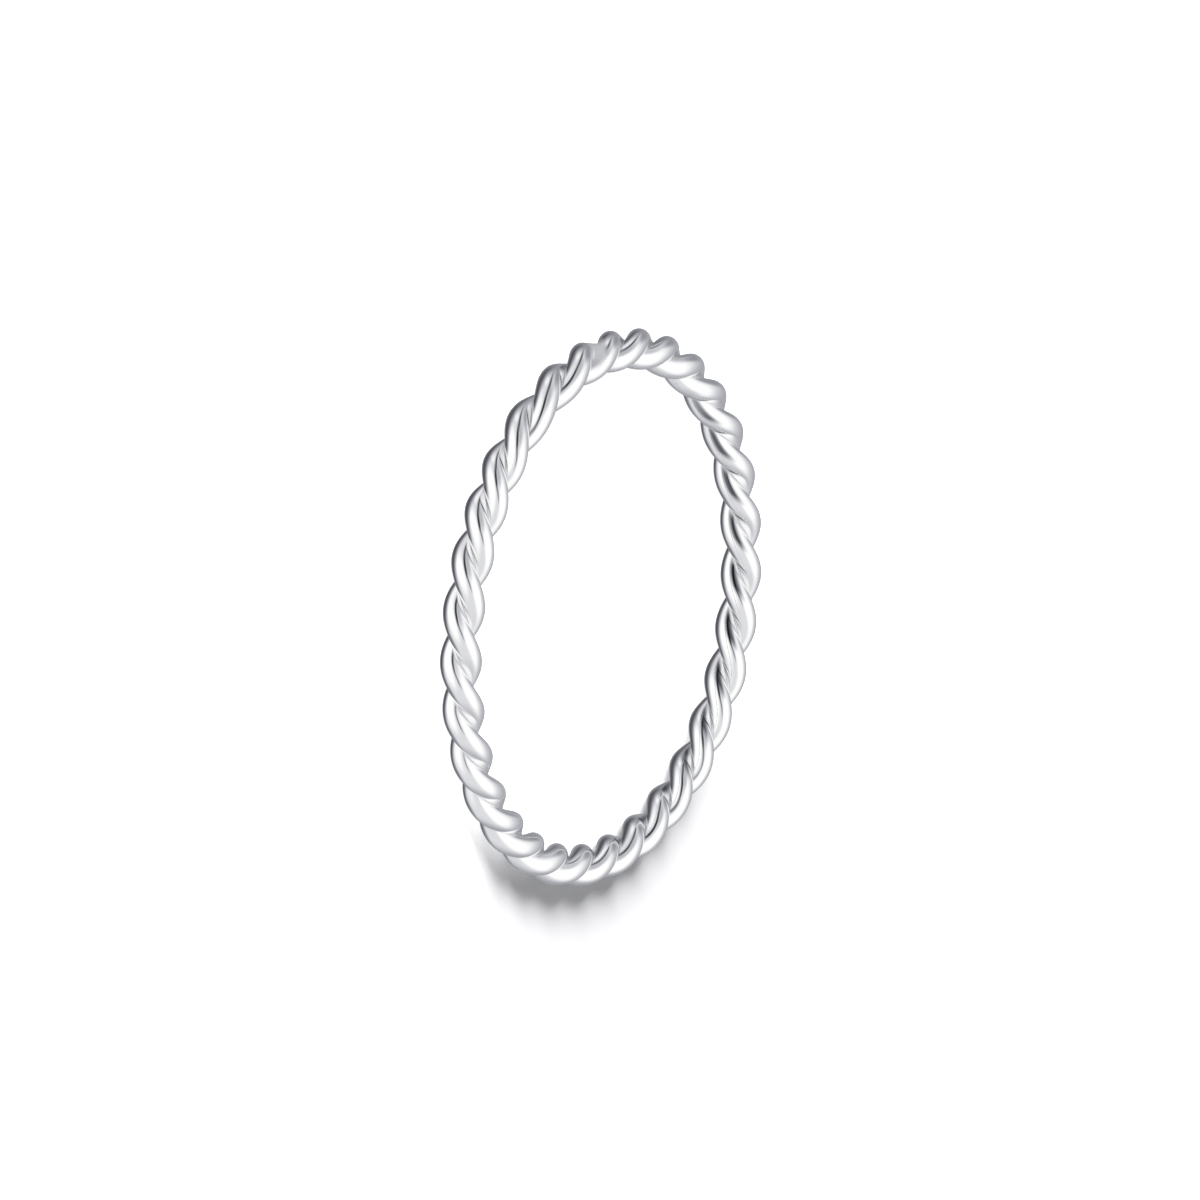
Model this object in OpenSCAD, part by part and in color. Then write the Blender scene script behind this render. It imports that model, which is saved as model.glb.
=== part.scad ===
// Finger ring made of two round wires twisted together, bent round and soldered end to end.
// It lies on its side: its axis is vertical, and the lowest wires touch the surface at z = 0.
// The twist is left-handed, and the odd number of half turns leads each wire into the other.

/* [Ring] */
// Inside diameter, the clear way for the finger
finger_d = 17.3; // [14:0.1:22]

/* [Wires] */
// Diameter of each round wire
wire_d = 0.85; // [0.6:0.01:1.4]
// Depth by which each wire is pressed flat where it bears on the other
pressed = 0.1; // [0.02:0.01:0.16]
// Gap between the two pressed faces
wire_gap = 0.04; // [0.02:0.01:0.08]

/* [Twist] */
// Half turns that the pair of wires makes in one round of the ring
half_turns = 31; // [20:1:40]
// Middle of the side on which the twist is a little looser, in degrees round from +X
loose_angle = 174; // [0:1:359]
// Degrees by which the twist lags a quarter round from there
slack_angle = 48; // [0:1:60]
// Place beside the joint where the twist has sprung open, in degrees round from +X
open_angle = 225; // [0:1:359]
// Degrees of twist that it has given up on each side of there
open_turn_angle = 25; // [0:1:40]
// Degrees round the ring from there to where it has given up the most
open_spread_angle = 15; // [12:1:40]
// Degrees by which the pair is turned about the rope's own middle at loose_angle
start_angle = 31; // [0:1:359]

/* [Joint] */
// Direction of the soldered joint, in degrees round from +X
joint_angle = 202; // [0:1:359]
// Gap between the wire ends that meet at the joint
joint_gap = 0.04; // [0.02:0.01:0.1]

/* [Hidden] */
wire_r = wire_d/2;
// Distance from the rope's middle line to each wire's centre
lay_r = wire_r - pressed;
rope_r = lay_r + wire_r;
ring_r = finger_d/2 + rope_r;
// Degrees that the twist turns over each millimetre of the rope, and the wires' slope against it
turn_rate = half_turns/2/ring_r*180/PI;
lay_angle = atan(lay_r*half_turns/2/ring_r);
// Degrees round the ring that each wire end stays back from the joint
end_back = joint_gap/2/ring_r*180/PI;
round_steps = 8;
face_steps = 4;
sections = 320;
silver = "#dfe1e5";

// Turn of the pair about the rope's middle, at a direction round the ring
function twist(direction) =
    let (
        past = direction - loose_angle,
        beyond = direction - open_angle,
        reach = (beyond - 360*floor((beyond + 180)/360))/open_spread_angle
    )
    start_angle + half_turns/2*past - slack_angle*sin(past)
        - open_turn_angle*reach*exp((1 - reach*reach)/2);

// A point of a wire's round surface in a cut across the rope, at an angle round the wire from its
// outermost line. x is the distance out from the rope's middle. A wire is round across its own
// slanted run, so a point at its flank lies ahead of the cut, and the twist's turn over that way
// brings it back.
function round_point(s) =
    let (
        out = lay_r + wire_r*cos(s),
        aside = wire_r*sin(s)*cos(lay_angle),
        back = wire_r*sin(s)*sin(lay_angle)*turn_rate
    )
    [out*cos(back) - aside*sin(back), aside*cos(back) + out*sin(back)];

// Angle round a wire at which its pressed face begins, closed in on by halves
function face_start(low, high) =
    let (half = (low + high)/2)
    high - low < 0.001 ? half
        : round_point(half).x > wire_gap/2 ? face_start(half, high) : face_start(low, half);
face_at = face_start(30, 150);

// Outline of a wire in a cut across the rope: the round side, and the flat face on the other wire
outline = concat(
    [for (k = [0:round_steps]) round_point(face_at*(2*k/round_steps - 1))],
    [
        for (k = [1:face_steps - 1])
            [wire_gap/2, round_point(face_at).y*(1 - 2*k/face_steps)]
    ]
);

// A point of the outline in space, in a direction round the ring
function place(point, direction, turn) =
    let (
        out = ring_r + point.x*cos(turn) - point.y*sin(turn),
        up = rope_r + point.x*sin(turn) + point.y*cos(turn)
    )
    [out*cos(direction), out*sin(direction), up];

// One wire from the joint all the way round to it again, side = 0 or 180 across the rope
module strand(side) {
    sides = len(outline);
    points = [
        for (i = [0:sections])
            let (direction = joint_angle + end_back + (360 - 2*end_back)*i/sections)
            for (point = outline)
                place(point, direction, side + twist(direction))
    ];
    // Each patch between two sections is split along the diagonal that stands out on the round
    // side, and along the one that stays back from the other wire on the pressed face
    walls = [
        for (i = [0:sections - 1], k = [0:sides - 1])
            let (
                a = i*sides + k,
                b = i*sides + (k + 1) % sides,
                c = b + sides,
                d = a + sides
            )
            each k < round_steps ? [[a, b, d], [b, c, d]] : [[a, b, c], [a, c, d]]
    ];
    // The flat ends start from the wire's outermost point
    outermost = round_steps/2;
    first_end = [for (k = [sides:-1:1]) (outermost + k) % sides];
    last_end = [for (k = [0:sides - 1]) sections*sides + (outermost + k) % sides];
    polyhedron(points, concat(walls, [first_end, last_end]));
}

module strand_a() {
    color(silver) strand(0);
}

module strand_b() {
    color(silver) strand(180);
}

strand_a();
strand_b();
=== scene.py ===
"""A slim finger ring of two polished silver wires twisted into a rope, lying on its side."""

import math

import bpy
import numpy as np
from mathutils import Matrix, Vector


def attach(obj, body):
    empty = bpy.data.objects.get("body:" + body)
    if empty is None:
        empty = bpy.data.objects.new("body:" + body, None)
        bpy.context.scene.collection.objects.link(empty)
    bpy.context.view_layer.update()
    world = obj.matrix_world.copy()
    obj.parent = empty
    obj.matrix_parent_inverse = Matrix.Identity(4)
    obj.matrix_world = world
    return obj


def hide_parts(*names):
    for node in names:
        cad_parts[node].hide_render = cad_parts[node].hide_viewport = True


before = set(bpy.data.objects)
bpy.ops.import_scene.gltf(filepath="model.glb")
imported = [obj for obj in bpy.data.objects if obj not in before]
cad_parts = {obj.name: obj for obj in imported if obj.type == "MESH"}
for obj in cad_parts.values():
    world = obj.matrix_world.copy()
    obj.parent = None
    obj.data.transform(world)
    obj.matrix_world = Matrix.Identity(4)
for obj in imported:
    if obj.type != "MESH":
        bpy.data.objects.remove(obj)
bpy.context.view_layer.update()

# The two wires. The real ring is one pair of round sterling silver wires, 0.85 mm thick, drawn
# through a plate, twisted together left-handed, bent round a mandrel and soldered end to end. Each
# one runs from the joint all the way round to it again, and leads there into the other.
MM = 0.001
FINGER_RADIUS = 8.65 * MM
WIRE_RADIUS = 0.425 * MM
PRESSED = 0.1 * MM  # depth of the flat where each wire bears on the other
FACE_CLEARANCE = 0.002 * MM  # half the gap between the two flats
LAY_RADIUS = WIRE_RADIUS - PRESSED  # rope's middle line to a wire's centre
ROPE_RADIUS = LAY_RADIUS + WIRE_RADIUS
RING_RADIUS = FINGER_RADIUS + ROPE_RADIUS
DRAWN_IN = 0.012 * MM  # keeps the smooth wires inside the box of the faceted ones
TURNS = 31 / 2  # whole turns of the pair in one round
TURN_RATE = TURNS / RING_RADIUS  # radians of twist for each metre of the rope
LAY_ANGLE = math.atan(LAY_RADIUS * TURN_RATE)
LOOSE_ANGLE = math.radians(174)  # direction of the middle of the side with the looser twist
START_ANGLE = math.radians(31)  # turn of the pair there
SLACK_ANGLE = math.radians(48)  # twist that it lags by, a quarter round from there
OPEN_ANGLE = math.radians(225)  # direction of the place where the twist has sprung open
OPEN_TURN_ANGLE = math.radians(25)  # twist given up on each side of that place
OPEN_SPREAD_ANGLE = math.radians(15)  # way round the ring to where the most is given up
JOINT_ANGLE = math.radians(202)
SOLDER_RADIUS = 0.54 * MM  # how far from the rope's middle the solder fills the grooves
SOLDER_REACH = math.radians(4.5)  # half the stretch of the ring that it runs along
SOLDER_BLEND = 0.14 * MM  # height over which the solder runs out on the wires
JOINT_CROWDING = 0.14  # how much closer together the sections of a wire lie at the joint
ALONG_STEPS = 2000
ROUND_STEPS = 42
FACE_STEPS = 6


def round_point(s):
    """Point of a wire's round side in a cut across the rope, s round the wire from its outermost
    line: out = lay + r cos s and aside = r sin s cos(lay angle), turned about the rope's middle by
    r sin s sin(lay angle) times the turn rate, as the wire is round across its slanted run."""
    out = LAY_RADIUS + WIRE_RADIUS * np.cos(s)
    aside = WIRE_RADIUS * np.sin(s) * math.cos(LAY_ANGLE)
    back = WIRE_RADIUS * np.sin(s) * math.sin(LAY_ANGLE) * TURN_RATE
    return out * np.cos(back) - aside * np.sin(back), aside * np.cos(back) + out * np.sin(back)


def face_start():
    """Angle round a wire at which its round side meets the flat, read off the curve of x(s), which
    falls all the way from 30 to 150 degrees."""
    s = np.linspace(math.radians(150), math.radians(30), 4001)
    return float(np.interp(FACE_CLEARANCE, round_point(s)[0], s))


def angle_past(place, direction):
    """Angle round the ring from a place to a direction, at most half a turn either way."""
    return (direction - place + math.pi) % (2 * math.pi) - math.pi


def solder_share(direction):
    """Share of full solder at a direction round the ring: exp(-(angle past the joint / reach)^2)."""
    return np.exp(-((angle_past(JOINT_ANGLE, direction) / SOLDER_REACH) ** 2))


def wire_grid(side):
    """Points of one wire as (along, around, xyz), side = 0 or pi across the rope.
    direction = joint + whole turn * (u - crowding sin(2 pi u)), closer together at the joint;
    turn = side + start + turns * past - slack sin(past) - open turn * reach exp((1 - reach^2) / 2),
    where past = direction - loose angle and reach = angle past the open place / open spread;
    out = ring - drawn in + x cos(turn) - y sin(turn), up = rope + x sin(turn) + y cos(turn).
    Near the joint the distance p from the rope's middle becomes the larger of p and the solder's,
    and more by blend h^2 / 4 where h = 1 - |p - solder| / blend is above 0."""
    u = np.linspace(0, 1, ALONG_STEPS + 1)[:, None]
    direction = JOINT_ANGLE + 2 * math.pi * (u - JOINT_CROWDING * np.sin(2 * math.pi * u))
    edge = face_start()
    x, y = round_point(np.linspace(-edge, edge, ROUND_STEPS + 1)[None, :])
    p = np.hypot(x, y)
    solder = SOLDER_RADIUS * solder_share(direction)
    h = np.maximum(1 - np.abs(p - solder) / SOLDER_BLEND, 0)
    grown = (np.maximum(p, solder) + SOLDER_BLEND * h**2 / 4) / p
    x, y = x * grown, y * grown
    across = np.linspace(1, -1, FACE_STEPS + 1)[None, 1:-1]
    x = np.concatenate([x, np.repeat(x[:, -1:], FACE_STEPS - 1, axis=1)], axis=1)
    y = np.concatenate([y, y[:, -1:] * across], axis=1)
    past = direction - LOOSE_ANGLE
    reach = angle_past(OPEN_ANGLE, direction) / OPEN_SPREAD_ANGLE
    turn = side + START_ANGLE + TURNS * past - SLACK_ANGLE * np.sin(past)
    turn = turn - OPEN_TURN_ANGLE * reach * np.exp((1 - reach**2) / 2)
    out = RING_RADIUS - DRAWN_IN + x * np.cos(turn) - y * np.sin(turn)
    up = ROPE_RADIUS + x * np.sin(turn) + y * np.cos(turn)
    return np.stack([out * np.cos(direction), out * np.sin(direction), up], axis=-1)


SHADE_MIDDLE = math.radians(102)  # direction of the middle of the stretch that has painted shade
SHADE_FULL, SHADE_GONE = 0.7, 0.5  # cosines of the angles past there, 46 and 60 degrees
SHADE_LINE_START = -26  # degrees round the rope at which the leaf's own line starts
SHADE_LINE_TILT = 60  # degrees round the rope that it turns for each millimetre round the wire
SHADE_HALF_WIDTH, SHADE_SIDE_FADE = 24, 15  # degrees round the rope, across that line
SHADE_LENGTH, SHADE_TIP_FADE, SHADE_TAIL_FADE = 1.1, 0.25, 0.3  # millimetres round the wire


def painted_groove_shade(direction, around, rope_angle):
    """Share of full painted shade on a wire: a dark leaf painted on one flank of it in each groove
    that faces the finger, standing in for the shade in those grooves. direction is in radians round
    the ring, around in millimetres from the wire's flat, and rope_angle in degrees round the rope
    from the side that faces the finger, up being 90. The leaf lies along the line rope_angle = start
    + tilt * around, and fades evenly to its sides, to its tip and tail, and to both ends of the
      stretch."""
    off_line = np.abs(rope_angle - SHADE_LINE_TILT * around - SHADE_LINE_START)
    width = np.clip((SHADE_HALF_WIDTH - off_line) / SHADE_SIDE_FADE, 0, 1)
    tip = np.clip(around / SHADE_TIP_FADE, 0, 1)
    tail = np.clip((SHADE_LENGTH - around) / SHADE_TAIL_FADE, 0, 1)
    near = np.cos(direction - SHADE_MIDDLE)
    stretch = np.clip((near - SHADE_GONE) / (SHADE_FULL - SHADE_GONE), 0, 1)
    return width * tip * tail * stretch


EDGE_ANGLE = math.radians(35)  # sharper edges, those of the flats and the ends, are shaded sharp
SOLDER_BARE_DEPTH, SOLDER_FULL_DEPTH = 0.05, 0.15  # millimetres below the outermost line


def wire_mesh(name, side):
    """Closed tube over wire_grid, with its two ends capped. Its attributes are the distance along and
    around the wire and the depth below the rope's outermost line, all in millimetres, and the
    shares of painted shade in the grooves and of solder, which lies in the grooves alone."""
    grid = wire_grid(side)
    rows, columns = grid.shape[:2]
    index = np.arange(rows * columns).reshape(rows, columns)
    ahead = np.roll(index, -1, axis=1)
    walls = np.stack([index[:-1], ahead[:-1], ahead[1:], index[1:]], axis=-1).reshape(-1, 4)
    caps = [index[0, ::-1].tolist(), index[-1].tolist()]
    mesh = bpy.data.meshes.new(name)
    mesh.from_pydata(grid.reshape(-1, 3), [], walls.tolist() + caps)
    mesh.shade_smooth()
    mesh.set_sharp_from_angle(angle=EDGE_ANGLE)
    steps_along = np.linalg.norm(np.diff(grid.mean(axis=1), axis=0), axis=-1)
    along = np.concatenate([[0], np.cumsum(steps_along)]) / MM
    around = np.linspace(0, 2 * math.pi * WIRE_RADIUS / MM, columns)
    out = np.hypot(grid[..., 0], grid[..., 1]) - RING_RADIUS + DRAWN_IN
    up = grid[..., 2] - ROPE_RADIUS
    direction = np.arctan2(grid[..., 1], grid[..., 0])
    # Share of painted shade: a dark leaf on one flank of the wire in each groove facing the finger.
    shade_leaf = painted_groove_shade(direction, around, np.degrees(np.arctan2(up, -out)))
    depth = (ROPE_RADIUS - np.hypot(out, up)) / MM
    in_groove = (depth - SOLDER_BARE_DEPTH) / (SOLDER_FULL_DEPTH - SOLDER_BARE_DEPTH)
    solder = solder_share(direction) * np.clip(in_groove, 0, 1)
    for attribute, values in (
        ("along_mm", np.repeat(along, columns)),
        ("around_mm", np.tile(around, rows)),
        ("depth_mm", depth.ravel()),
        ("painted_groove_shade", shade_leaf.ravel()),
        ("solder", solder.ravel()),
    ):
        layer = mesh.attributes.new(attribute, "FLOAT", "POINT")
        layer.data.foreach_set("value", values.astype(np.float32))
    return mesh


def linear(hex_colour):
    """sRGB hex to linear RGBA: c / 12.92 up to 0.04045, else ((c + 0.055) / 1.055) ^ 2.4."""
    srgb = [int(hex_colour[k : k + 2], 16) / 255 for k in (1, 3, 5)]
    return [c / 12.92 if c <= 0.04045 else ((c + 0.055) / 1.055) ** 2.4 for c in srgb] + [1]


def add_node(tree, kind, inputs=None, **settings):
    """Adds a node with its settings. Each input is a value, or the output that it is linked to."""
    node = tree.nodes.new("ShaderNode" + kind)
    for name, value in settings.items():
        setattr(node, name, value)
    for name, value in (inputs or {}).items():
        if isinstance(value, bpy.types.NodeSocket):
            tree.links.new(value, node.inputs[name])
        else:
            node.inputs[name].default_value = value
    return node


# Sterling silver, drawn and then polished to a mirror on a soft wheel. It shows the room in sharp
# bands along each wire, a little broken by faint draw lines and by the wheel's soft ripple.
silver = bpy.data.materials.new("polished_sterling_silver")
silver.use_nodes = True
tree = silver.node_tree
tree.nodes.clear()
along = add_node(tree, "Attribute", attribute_name="along_mm").outputs["Fac"]
around = add_node(tree, "Attribute", attribute_name="around_mm").outputs["Fac"]
place = add_node(tree, "CombineXYZ", {"X": along, "Y": around})
# Draw lines are about 0.01 mm apart, and are drawn 0.06 mm apart so that they show.
LINES_PER_MM = (0.35, 16, 1)  # along and around the wire
LINE_HEIGHT = 0.12  # of the ripple's
lines_at = add_node(tree, "Mapping", {"Vector": place.outputs[0], "Scale": LINES_PER_MM})
lines = add_node(
    tree, "TexNoise", {"Vector": lines_at.outputs[0], "Scale": 1, "Detail": 3, "Roughness": 0.6}
)
RIPPLES_PER_MM = 1.1
ripple = add_node(
    tree, "TexNoise",
    {"Vector": place.outputs[0], "Scale": RIPPLES_PER_MM, "Detail": 1, "Roughness": 0.4},
)
height = add_node(
    tree, "Math", {0: lines.outputs["Fac"], 1: LINE_HEIGHT, 2: ripple.outputs["Fac"]},
    operation="MULTIPLY_ADD",
)
relief = add_node(
    tree, "Bump", {"Height": height.outputs[0], "Strength": 0.12, "Distance": 0.02 * MM}
)
polished_tone = add_node(
    tree, "Mix",
    {"Factor": ripple.outputs["Fac"], "A": linear("#f3f3f4"), "B": linear("#fafafa")},
    data_type="RGBA",
)
polish = add_node(
    tree, "MapRange", {"Value": lines.outputs["Fac"], "To Min": 0.03, "To Max": 0.08}
)
# The wheel doesn't reach the bottoms of the grooves, which stay satin.
depth = add_node(tree, "Attribute", attribute_name="depth_mm").outputs["Fac"]
unreached = add_node(
    tree, "MapRange", {"Value": depth, "From Min": 0.2, "From Max": 0.42, "To Max": 0.2},
    interpolation_type="SMOOTHSTEP",
)
wire_roughness = add_node(
    tree, "Math", {0: polish.outputs[0], 1: unreached.outputs[0]}, operation="ADD"
)
# The solder is softer and was only rubbed smooth.
SOLDER_ROUGHNESS = 0.6  # more than the wire's
solder = add_node(tree, "Attribute", attribute_name="solder").outputs["Fac"]
roughness = add_node(
    tree, "Math", {0: solder, 1: SOLDER_ROUGHNESS, 2: wire_roughness.outputs[0]},
    operation="MULTIPLY_ADD",
)
# Painted shade: inside the ring, a dark grey is painted on one flank of each wire in the grooves,
# standing in for the shade there.
shade_leaf = add_node(tree, "Attribute", attribute_name="painted_groove_shade").outputs["Fac"]
tone = add_node(
    tree, "Mix",
    {"Factor": shade_leaf, "A": polished_tone.outputs["Result"], "B": linear("#64676d")},
    data_type="RGBA",
)
surface = add_node(
    tree, "BsdfPrincipled",
    {
        "Base Color": tone.outputs["Result"],
        "Metallic": 1.0,
        "Roughness": roughness.outputs[0],
        "Normal": relief.outputs[0],
    },
)
add_node(tree, "OutputMaterial", {"Surface": surface.outputs[0]})

for name, side in (("strand_a", 0), ("strand_b", math.pi)):
    wire = bpy.data.objects.new("wire_" + name[-1], wire_mesh("wire_" + name[-1], side))
    bpy.context.scene.collection.objects.link(wire)
    wire.data.materials.append(silver)
    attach(wire, "root")
    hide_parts(name)

# The floor: a plain white light table, wide enough to fill every view. Its lamps are off only
# beyond one end of the ring, in the direction 19 degrees from +X, so the shadow shows there alone.
FLOOR_REACH = 3.0
DARK_END = (0.944, 0.329, 0)  # unit vector towards that end
LAMPS_FULL_TO, LAMPS_OFF_FROM = 5.5 * MM, 9.5 * MM  # from the ring's axis towards that end
LAMP_STRENGTH = 0.75
corners = [
    (-FLOOR_REACH, -FLOOR_REACH, 0), (FLOOR_REACH, -FLOOR_REACH, 0),
    (FLOOR_REACH, FLOOR_REACH, 0), (-FLOOR_REACH, FLOOR_REACH, 0),
]
floor_mesh = bpy.data.meshes.new("floor")
floor_mesh.from_pydata(corners, [], [(0, 1, 2, 3)])
floor = bpy.data.objects.new("floor", floor_mesh)
bpy.context.scene.collection.objects.link(floor)
board = bpy.data.materials.new("matt_white_acrylic")
board.use_nodes = True
tree = board.node_tree
tree.nodes.clear()
spot = add_node(tree, "TexCoord").outputs["Object"]
to_dark_end = add_node(tree, "VectorMath", {0: spot, 1: DARK_END}, operation="DOT_PRODUCT")
lit = add_node(
    tree, "MapRange",
    {
        "Value": to_dark_end.outputs["Value"],
        "From Min": LAMPS_FULL_TO,
        "From Max": LAMPS_OFF_FROM,
        "To Min": LAMP_STRENGTH,
        "To Max": 0.0,
    },
    interpolation_type="SMOOTHSTEP",
)
matt = add_node(
    tree, "BsdfPrincipled",
    {
        "Base Color": linear("#f6f6f7"),
        "Roughness": 0.9,
        "Emission Color": linear("#ffffff"),
        "Emission Strength": lit.outputs[0],
    },
)
add_node(tree, "OutputMaterial", {"Surface": matt.outputs[0]})
floor.data.materials.append(board)
floor.visible_glossy = False  # the silver shows the tent all round it

# The light: a white tent with soft panels and dark gaps, which the silver mirrors. The panels are
# laid out on a chart: a direction's place on it is the slope of the mirror that would show that
# direction to a viewer at the front, across from them and up.
FRONT_AZIMUTH, FRONT_ELEVATION, FRONT_ROLL = -89.5, 31.3, 99.3


def facing(azimuth, elevation, roll):
    """Unit vectors right, up and back of a view from degrees round from +X and degrees above the
    table, rolled clockwise: back = (cos a cos e, sin a cos e, sin e), level = z x back."""
    a, e, r = (math.radians(angle) for angle in (azimuth, elevation, roll))
    back = np.array([math.cos(a) * math.cos(e), math.sin(a) * math.cos(e), math.sin(e)])
    level = np.array([-math.sin(a), math.cos(a), 0])
    upward = np.cross(back, level)
    right = math.cos(r) * level + math.sin(r) * upward
    return right, math.cos(r) * upward - math.sin(r) * level, back


front_right, front_up, front = facing(FRONT_AZIMUTH, FRONT_ELEVATION, FRONT_ROLL)
world = bpy.data.worlds.new("white_tent")
world.use_nodes = True
bpy.context.scene.world = world
tree = world.node_tree
tree.nodes.clear()
towards = add_node(tree, "TexCoord").outputs["Generated"]
both = add_node(tree, "VectorMath", {0: towards, 1: tuple(front)}, operation="ADD")
slope = add_node(tree, "VectorMath", {0: both.outputs[0]}, operation="NORMALIZE")
across = add_node(
    tree, "VectorMath", {0: slope.outputs[0], 1: tuple(front_right)}, operation="DOT_PRODUCT"
)
high = add_node(
    tree, "VectorMath", {0: slope.outputs[0], 1: tuple(front_up)}, operation="DOT_PRODUCT"
)
chart = add_node(tree, "CombineXYZ", {"X": across.outputs["Value"], "Y": high.outputs["Value"]})


def panel(x, y, width, height, turn, edge):
    """1 on an ellipse of the chart, falling smoothly to 0 from the share edge of its half width and
    half height outwards."""
    placed = add_node(
        tree, "Mapping",
        {
            "Vector": chart.outputs[0],
            "Location": (x, y, 0),
            "Rotation": (0, 0, math.radians(turn)),
            "Scale": (width, height, 1),
        },
        vector_type="TEXTURE",
    )
    away = add_node(tree, "VectorMath", {0: placed.outputs[0]}, operation="LENGTH")
    return add_node(
        tree, "MapRange",
        {
            "Value": away.outputs["Value"],
            "From Min": edge,
            "From Max": 1.0,
            "To Min": 1.0,
            "To Max": 0.0,
        },
        interpolation_type="SMOOTHSTEP",
    ).outputs[0]


# Across, up, half width, half height, turn in degrees, share with full tone, tone inside, tone
# outside; a tone of None leaves what is there. Each one lies over those before it.
PANELS = (
    (-0.36, 0.14, 0.42, 0.62, 5, 0.3, 1.15, None),
    (0.48, -0.12, 0.36, 0.7, -8, 0.3, 1.15, None),
    (-0.14, 0.78, 0.3, 0.16, -10, 0.2, 1.1, None),
    (0.0, -0.92, 0.9, 0.42, 0, 0.1, 0.52, None),
    (0.64, 0.62, 0.22, 0.5, 44, 0.1, 0.34, None),
    (-0.68, -0.48, 0.18, 0.4, 40, 0.0, 0.42, None),
    (0.0, 0.0, 1.06, 1.06, 0, 0.68, None, 0.34),
    (0.2, -0.12, 1.1, 1.18, -20, 0.74, None, 0.1),
    (0.0, 0.0, 1.03, 1.03, 0, 0.88, None, 0.48),
    (0.32, 0.42, 0.28, 0.34, -10, 0.1, 0.55, None),
    (0.12, 0.02, 0.09, 0.26, 10, 0.1, 0.22, None),
    (0.2, 0.64, 0.13, 0.3, -25, 0.2, 0.12, None),
    (0.07, 0.35, 0.14, 0.38, -4, 0.3, 0.05, None),
)
BARE_TENT = 0.8
mirrored = BARE_TENT
for x, y, width, height, turn, edge, inside, outside in PANELS:
    mask = panel(x, y, width, height, turn, edge)
    tones = {"A": mirrored, "B": inside} if outside is None else {"A": outside, "B": mirrored}
    mirrored = add_node(
        tree, "Mix", {"Factor": mask, **tones}, data_type="FLOAT"
    ).outputs["Result"]
# The darker panels are a cool grey.
colour = add_node(
    tree, "Mix", {"Factor": mirrored, "A": linear("#eef1ff"), "B": linear("#ffffff")},
    data_type="RGBA",
).outputs["Result"]
# Only the silver mirrors the panels. The camera sees a plain white tent, and the table gets a
# dimmer one, so that the key throws a shadow.
CAMERA_TENT, TABLE_TENT = 1.0, 0.28
rays = add_node(tree, "LightPath").outputs
plain = add_node(
    tree, "Mix", {"Factor": rays["Is Camera Ray"], "A": TABLE_TENT, "B": CAMERA_TENT},
    data_type="FLOAT",
).outputs["Result"]
strength = add_node(
    tree, "Mix", {"Factor": rays["Is Glossy Ray"], "A": plain, "B": mirrored}, data_type="FLOAT"
).outputs["Result"]
glow = add_node(tree, "Background", {"Color": colour, "Strength": strength})
add_node(tree, "OutputWorld", {"Surface": glow.outputs[0]})
bpy.context.scene.view_settings.view_transform = "Standard"

# The key is a soft box, low over the side of the ring that is on top in the picture, so that the
# shadow falls beyond the side that is lowest. It lights the table, and the silver mirrors the tent
# alone.
KEY_AZIMUTH, KEY_ELEVATION = 218, 32
KEY_DISTANCE = 0.6
key_data = bpy.data.lights.new("key", "AREA")
key_data.size, key_data.energy = 0.3, 7.3
key = bpy.data.objects.new("key", key_data)
key_back = Vector(facing(KEY_AZIMUTH, KEY_ELEVATION, 0)[2].tolist())
key.location = key_back * KEY_DISTANCE
key.rotation_mode = "QUATERNION"
key.rotation_quaternion = key_back.to_track_quat("Z", "Y")
key.visible_glossy = False
bpy.context.scene.collection.objects.link(key)

# The camera: a long macro lens at the front, which is the photograph's angle to the ring. The ring
# stands upright there, so the picture is rolled until the ring's axis points to the right.
CAMERA_DISTANCE = 50 * RING_RADIUS
SENSOR_MM = 36
FRAME_PIXELS = 1200
RING_RADIUS_PIXELS = 261.3  # the ring's middle line, seen at the distance of its middle
RING_MIDDLE_PIXEL = (603.6, 607.4)
pixel = RING_RADIUS / RING_RADIUS_PIXELS
right_of_middle = (RING_MIDDLE_PIXEL[0] - FRAME_PIXELS / 2) * pixel
below_middle = (RING_MIDDLE_PIXEL[1] - FRAME_PIXELS / 2) * pixel
aim = np.array([0, 0, ROPE_RADIUS]) - right_of_middle * front_right + below_middle * front_up
camera_data = bpy.data.cameras.new("camera")
camera_data.sensor_width = SENSOR_MM
camera_data.lens = SENSOR_MM * CAMERA_DISTANCE / (FRAME_PIXELS * pixel)
camera_data.clip_start = 0.01
camera_data.clip_end = 10
camera = bpy.data.objects.new("camera", camera_data)
bpy.context.scene.collection.objects.link(camera)
stand = np.eye(4)
stand[:3, 0], stand[:3, 1], stand[:3, 2] = front_right, front_up, front
stand[:3, 3] = aim + front * CAMERA_DISTANCE
camera.matrix_world = Matrix(stand.tolist())
bpy.context.scene.camera = camera
